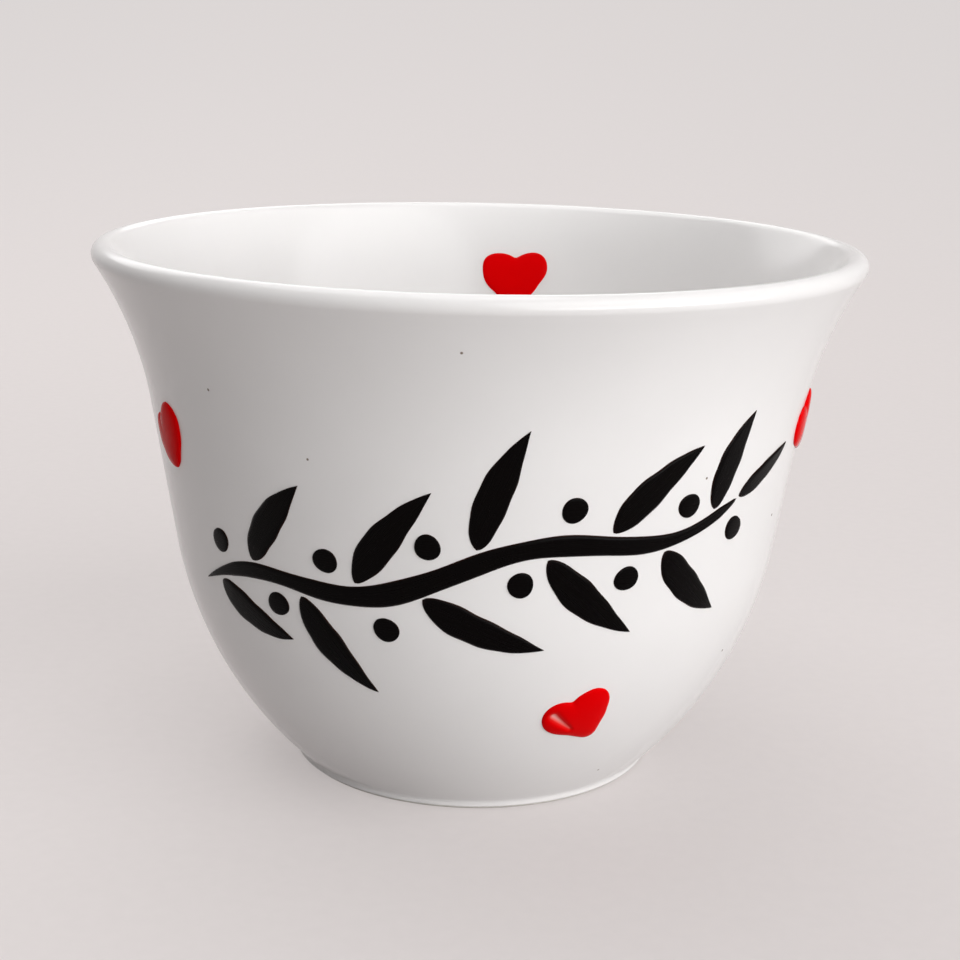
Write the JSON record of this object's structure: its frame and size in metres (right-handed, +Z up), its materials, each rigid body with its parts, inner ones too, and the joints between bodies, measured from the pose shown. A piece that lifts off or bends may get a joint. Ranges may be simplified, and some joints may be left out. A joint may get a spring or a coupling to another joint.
{
  "type": "arabic coffee cup",
  "caption": "Handleless porcelain coffee cup with a bell-shaped bowl, flared round lip, wiped foot ring, raised red enamel hearts and a black painted leaf sprig.",
  "frame": {"origin": "on the table, at the middle of the foot ring", "axes": "+Z up along the cup's axis, -Y towards the painted front, +X to the right as seen from the front"},
  "size_m": [0.07, 0.07, 0.0488],
  "materials": {
    "bare_porcelain": "fired, unglazed, matte",
    "white_glaze": "clear glossy glaze over white porcelain",
    "red_enamel": "raised glossy overglaze enamel",
    "black_enamel": "brushed overglaze paint, satin"
  },
  "bodies": {
    "root": {"porcelain_body": "bare_porcelain", "glaze_coat": "white_glaze", "foot_glaze": "white_glaze", "heart_front": "red_enamel", "heart_left": "red_enamel", "heart_right": "red_enamel", "heart_inside": "red_enamel", "sprig_stem": "black_enamel", "sprig_leaf_01": "black_enamel", "sprig_leaf_02": "black_enamel", "sprig_leaf_03": "black_enamel", "sprig_leaf_04": "black_enamel", "sprig_leaf_05": "black_enamel", "sprig_leaf_06": "black_enamel", "sprig_leaf_07": "black_enamel", "sprig_leaf_08": "black_enamel", "sprig_leaf_09": "black_enamel", "sprig_leaf_10": "black_enamel", "sprig_leaf_tip": "black_enamel", "sprig_berries": "black_enamel"}
  },
  "joints": []
}
